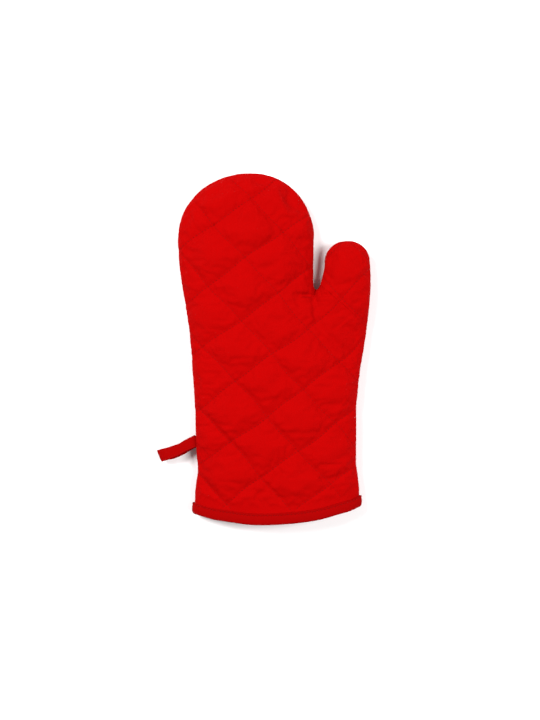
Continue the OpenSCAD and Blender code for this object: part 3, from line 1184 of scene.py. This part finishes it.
def seam_places(run, q):
    """Stitch ends along one run, moved in from the edge by the seam's inset."""
    points = evenly(run, q.stitch / 2)
    places = []
    for i in range(1, len(points) - 2, 2):
        a, b = points[i], points[i + 1]
        way = (b - a).normalized()
        inward = Vector((-way.y, way.x, 0))
        middle = (a + b) / 2
        if inside(middle + inward * 0.004) < inside(middle - inward * 0.004):
            inward = -inward
        if cuff_distance(np.array([middle]))[0] > 0.013:
            places.append((a + inward * SEAM_ROW, b + inward * SEAM_ROW, Vector((0, 0, 1))))
    return places


def inside(point):
    """Positive where a point lies inside the mitt's outline, by how the quilted form covers it."""
    tree = MADE.get("cover")
    if tree is None:
        regions_ = [MADE["form"]["coarse"][name] for name in ("palm", "palm_thumb")]
        points, faces = [], []
        for region in regions_:
            faces += [[i + len(points) for i in p.vertices] for p in region.polygons]
            points += [v.co.copy() for v in region.vertices]
        tree = MADE["cover"] = BVHTree.FromPolygons(points, faces)
    hit = tree.ray_cast(Vector((point.x, point.y, 0.1)), Vector((0, 0, -1)))[0]
    return 0.0 if hit is None else hit.z


class MITT_OT_cuff_binding(bpy.types.Operator):
    """Tape folded over the cuff edge, with its topstitch"""

    bl_idname = "mitt.cuff_binding"
    bl_label = "Cuff binding"

    def execute(self, context):
        binding, layers, q = settings("binding"), settings("layers"), settings("quilting")
        wall = layers.shell + layers.padding + layers.lining
        bm = bmesh.new()
        section = binding_section(binding, wall)
        loft(bm, [binding_ring(v, t) for v, t in section], closed=False)
        piece = new_piece("cuff_binding_tape", bm)
        around_uv(piece.data)
        rest_on_table(rounded(piece))
        wear(piece, material("tape"))
        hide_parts("cuff_binding")
        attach(piece, "hand")
        row = binding.width - binding.stitch_inset
        runs = []
        for inset in (-binding.cloth - 0.0001, wall + binding.cloth + 0.0001):
            points = binding_ring(row, inset)
            points = evenly(points + points[:1], q.stitch / 2)
            sign = 1 if inset < 0 else -1
            middle = Vector((0, CUFF_Y, SEAM_Z + 0.003))
            run = []
            for i in range(0, len(points) - 1, 2):
                a, b = points[i], points[i + 1]
                way = (b - a).normalized()
                up = way.cross(Vector((0, 1, 0))).normalized()
                centre = Vector(((a.x + b.x) * 0.42, middle.y, middle.z))
                if up.dot((a + b) / 2 - centre) < 0:
                    up = -up
                run.append((a, b, up * sign))
            runs.append(run)
        thread = thread_piece("cuff_binding_stitches", runs, q.thread * 1.15, material("thread"))
        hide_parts("cuff_binding_thread")
        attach(thread, "hand")
        return {"FINISHED"}


def binding_section(binding, wall):
    """The binding's folded cross-section: distance from the cuff edge and inset from the shell's surface."""
    w, c = binding.width, binding.cloth
    row = w - binding.stitch_inset
    outer = [(w + 0.0001, -0.15 * c), (w, -0.75 * c), (w - 0.0004, -1.02 * c), (row + 0.0005, -0.95 * c),
             (row, -0.62 * c), (row - 0.0005, -0.92 * c), (row - 0.0018, -1.14 * c), (0.6 * w, -1.28 * c),
             (0.4 * w, -1.3 * c), (0.22 * w, -1.2 * c), (0.08 * w, -0.75 * c), (0.01 * w, 0.1 * c)]
    inner = [(v, wall - t) for v, t in reversed(outer)]
    inside_ = [(w, wall + 0.02 * c), (0.5 * w, wall + 0.02 * c), (0.14 * w, wall - 0.1 * c),
               (0.14 * w, 0.1 * c), (0.5 * w, -0.02 * c), (w, -0.02 * c)]
    return outer + inner + inside_


def binding_ring(v, inset):
    """One ring of the binding, with the small gathers that its topstitch makes."""
    points = hand_ring(CUFF_Y + v, 0.0, 288)
    middle = [Vector((p.x * 0.9, p.y, mix(SEAM_Z, p.z, 0.3))) for p in points]
    moved = hand_ring(CUFF_Y + v, inset, 288)
    for i, p in enumerate(moved):
        way = (points[i] - middle[i]).normalized()
        gather = 0.00010 * math.sin(i * 1.9 + 2 * math.sin(i * 0.13)) + 0.00018 * math.sin(i * 0.31)
        p += way * gather
        p.y += 0.0002 * math.sin(i * 0.21)
    return moved


def around_uv(mesh):
    """A UV map in metres that runs round the cuff and across the tape."""
    co = coordinates(mesh)
    turn = np.arctan2((co[:, 2] - SEAM_Z) * 4, co[:, 0])
    flat = np.stack([turn * 0.052, cuff_distance(co) + np.where(co[:, 2] > SEAM_Z, 0, 0.05)], axis=1)
    lay_flat(mesh, flat)


class MITT_OT_hanging_loop(bpy.types.Operator):
    """Folded tape loop caught in the side seam, with its edge stitches, and cloth on the tails inside"""

    bl_idname = "mitt.hanging_loop"
    bl_label = "Hanging loop"

    def execute(self, context):
        loop = settings("loop")
        path = loop_path()
        bm = bmesh.new()
        rings = [tape_ring(path, i) for i in range(len(path))]
        loft(bm, rings)
        piece = new_piece("hanging_loop_tape", bm)
        tape_uv(piece.data)
        rest_on_table(rounded(piece))
        wear(piece, material("tape"))
        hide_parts("hanging_loop")
        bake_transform(piece)
        runs = [tape_stitches(path, edge) for edge in (-1, 1)]
        thread = thread_piece("hanging_loop_stitches", runs, settings("quilting").thread, material("thread"))
        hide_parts("hanging_loop_thread")
        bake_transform(thread)
        tails = frame["nodes"]["hanging_loop_tails"]
        tails.data.materials.clear()
        tails.data.materials.append(material("tails"))
        return {"FINISHED"}


def bezier(p, steps):
    points = []
    for i in range(steps + 1):
        k = i / steps
        m = 1 - k
        points.append(p[0] * m**3 + p[1] * (3 * m * m * k) + p[2] * (3 * m * k * k) + p[3] * k**3)
    return points


def loop_turn(sign=1):
    """The turn that points the loop away from the seam, or with sign -1 back again."""
    return Matrix.Rotation(sign * (math.pi + settings("loop").angle), 3, "Z")


def narrowing(share):
    """The tape draws in a little near its root."""
    return 0.17 * bump(0.12, 0.12, share)


def loop_path():
    """The tape's middle line: out along the top, round the fold and back to the seam."""
    loop = settings("loop")
    rise = loop.tape / 2 + 0.0001
    nose = Vector((loop.length - loop.tape / 2, 0, 0.0055))
    inside_ = Vector((-0.0025, 0, SEAM_Z))
    top = bezier([Vector((0, 0, SEAM_Z + rise)), Vector((loop.length * 0.45, 0, SEAM_Z + 0.0032)),
                  Vector((nose.x, 0, nose.z + 0.0065)), nose], 26)
    low = Vector((loop.length * 0.42, 0, loop.tape / 2 - 0.0024))
    under = bezier([nose, Vector((nose.x, 0, -0.0007)), low, Vector((0, 0, SEAM_Z - rise))], 26)
    points = [inside_ + Vector((0, 0, rise)), *top, *under[1:], inside_ - Vector((0, 0, rise))]
    turn = loop_turn()
    root = Vector((hand_left(-loop.drop), -loop.drop, 0))
    return [turn @ p + root for p in points]


def tape_frame(path, i):
    """(way along the tape, way across it, way out of its face) at one point of its middle line."""
    loop = settings("loop")
    way = (path[min(i + 1, len(path) - 1)] - path[max(i - 1, 0)]).normalized()
    across = loop_turn() @ Vector((0, 1, 0))
    share = i / (len(path) - 1)
    tip = loop.twist * math.sin(2 * math.pi * share) * (1 - abs(2 * share - 1)) * 1.6
    across = Matrix.Rotation(tip, 3, way) @ across
    return way, across, way.cross(across).normalized()


def tape_ring(path, i):
    """The tape's cross-section: two soft edges, and a groove where each row of stitches sinks."""
    loop = settings("loop")
    _, across, face = tape_frame(path, i)
    half, thick = loop.width / 2, loop.tape / 2
    row = half - EDGE_ROW
    share = i / (len(path) - 1)
    uneven = 1 + 0.02 * math.sin(i * 0.7) - narrowing(share) + 0.05 * bump(0.5, 0.12, share)
    top = [(half, 0.0), (half - 0.00025, 0.7), (half - 0.0008, 1.0), (row, 0.66), (row - 0.0009, 1.0),
           (0.3 * half, 1.06), (0.0, 0.9)]
    upper = top + [(-x, z) for x, z in reversed(top[:-1])]
    lower = [(x, -z) for x, z in reversed(upper[1:-1])]
    middle = path[i] + across * aside(share)
    return [middle + across * (x * uneven) + face * (z * thick) for x, z in upper + lower]


def aside(share):
    """How far the tape lies to one side: the upper run sags midway and the lower one shows beside it."""
    return 0.0010 * bump(0.2, 0.12, share) + 0.0024 * bump(0.78, 0.13, share)


def tape_uv(mesh):
    co = coordinates(mesh)
    turn = loop_turn(-1)
    flat = np.array([(turn @ Vector(p)).to_2d() for p in co])
    flat[:, 1] += np.where(co[:, 2] > 0.006, 0, 0.03)
    lay_flat(mesh, flat)


def tape_stitches(path, edge):
    """Stitches along one edge of the loop's upper run."""
    loop, q = settings("loop"), settings("quilting")
    line = []
    for i in range(2, len(path) // 2 - 1):
        _, across, face = tape_frame(path, i)
        share = i / (len(path) - 1)
        reach = (1 - narrowing(share)) * (loop.width / 2 - EDGE_ROW)
        line.append((path[i] + across * (aside(share) + edge * reach), face))
    points = evenly([p for p, _ in line], q.stitch * 0.45)
    places = []
    for i in range(0, len(points) - 1, 2):
        near = min(line, key=lambda item: (item[0] - points[i]).length)
        up = near[1] if near[1].z > 0 else -near[1]
        lifted = up * (loop.tape / 2 * 0.66)
        places.append((points[i] + lifted, points[i + 1] + lifted, up))
    return places


class MITT_PT_panel(bpy.types.Panel):
    """The mitt's pieces and their settings"""

    bl_idname = "MITT_PT_panel"
    bl_label = "Oven Mitt"
    bl_space_type = "VIEW_3D"
    bl_region_type = "UI"
    bl_category = "Oven Mitt"

    def draw(self, context):
        for name in GROUPS:
            box = self.layout.box()
            box.label(text=name.capitalize())
            group = getattr(context.scene, "mitt_" + name)
            for key in group.__annotations__:
                box.prop(group, key)
        for operator in OPERATORS:
            self.layout.operator(operator.bl_idname)


GROUPS = {
    "form": MittForm,
    "quilting": MittQuilting,
    "layers": MittLayers,
    "binding": MittBinding,
    "loop": MittLoop,
    "colours": MittColours,
}
OPERATORS = (
    MITT_OT_stage,
    MITT_OT_form,
    MITT_OT_shells,
    MITT_OT_wadding,
    MITT_OT_linings,
    MITT_OT_quilting_thread,
    MITT_OT_side_seam,
    MITT_OT_cuff_binding,
    MITT_OT_hanging_loop,
)
CLASSES = (*GROUPS.values(), *OPERATORS, MITT_PT_panel)


def register():
    for cls in CLASSES:
        bpy.utils.register_class(cls)
    for name, cls in GROUPS.items():
        setattr(bpy.types.Scene, "mitt_" + name, PointerProperty(type=cls))


def unregister():
    for name in GROUPS:
        delattr(bpy.types.Scene, "mitt_" + name)
    for cls in reversed(CLASSES):
        bpy.utils.unregister_class(cls)


def main():
    register()
    bpy.ops.mitt.stage()
    bpy.ops.mitt.form()
    bpy.ops.mitt.shells()
    bpy.ops.mitt.wadding()
    bpy.ops.mitt.linings()
    bpy.ops.mitt.quilting_thread()
    bpy.ops.mitt.side_seam()
    bpy.ops.mitt.cuff_binding()
    bpy.ops.mitt.hanging_loop()


if __name__ == "__main__":
    main()
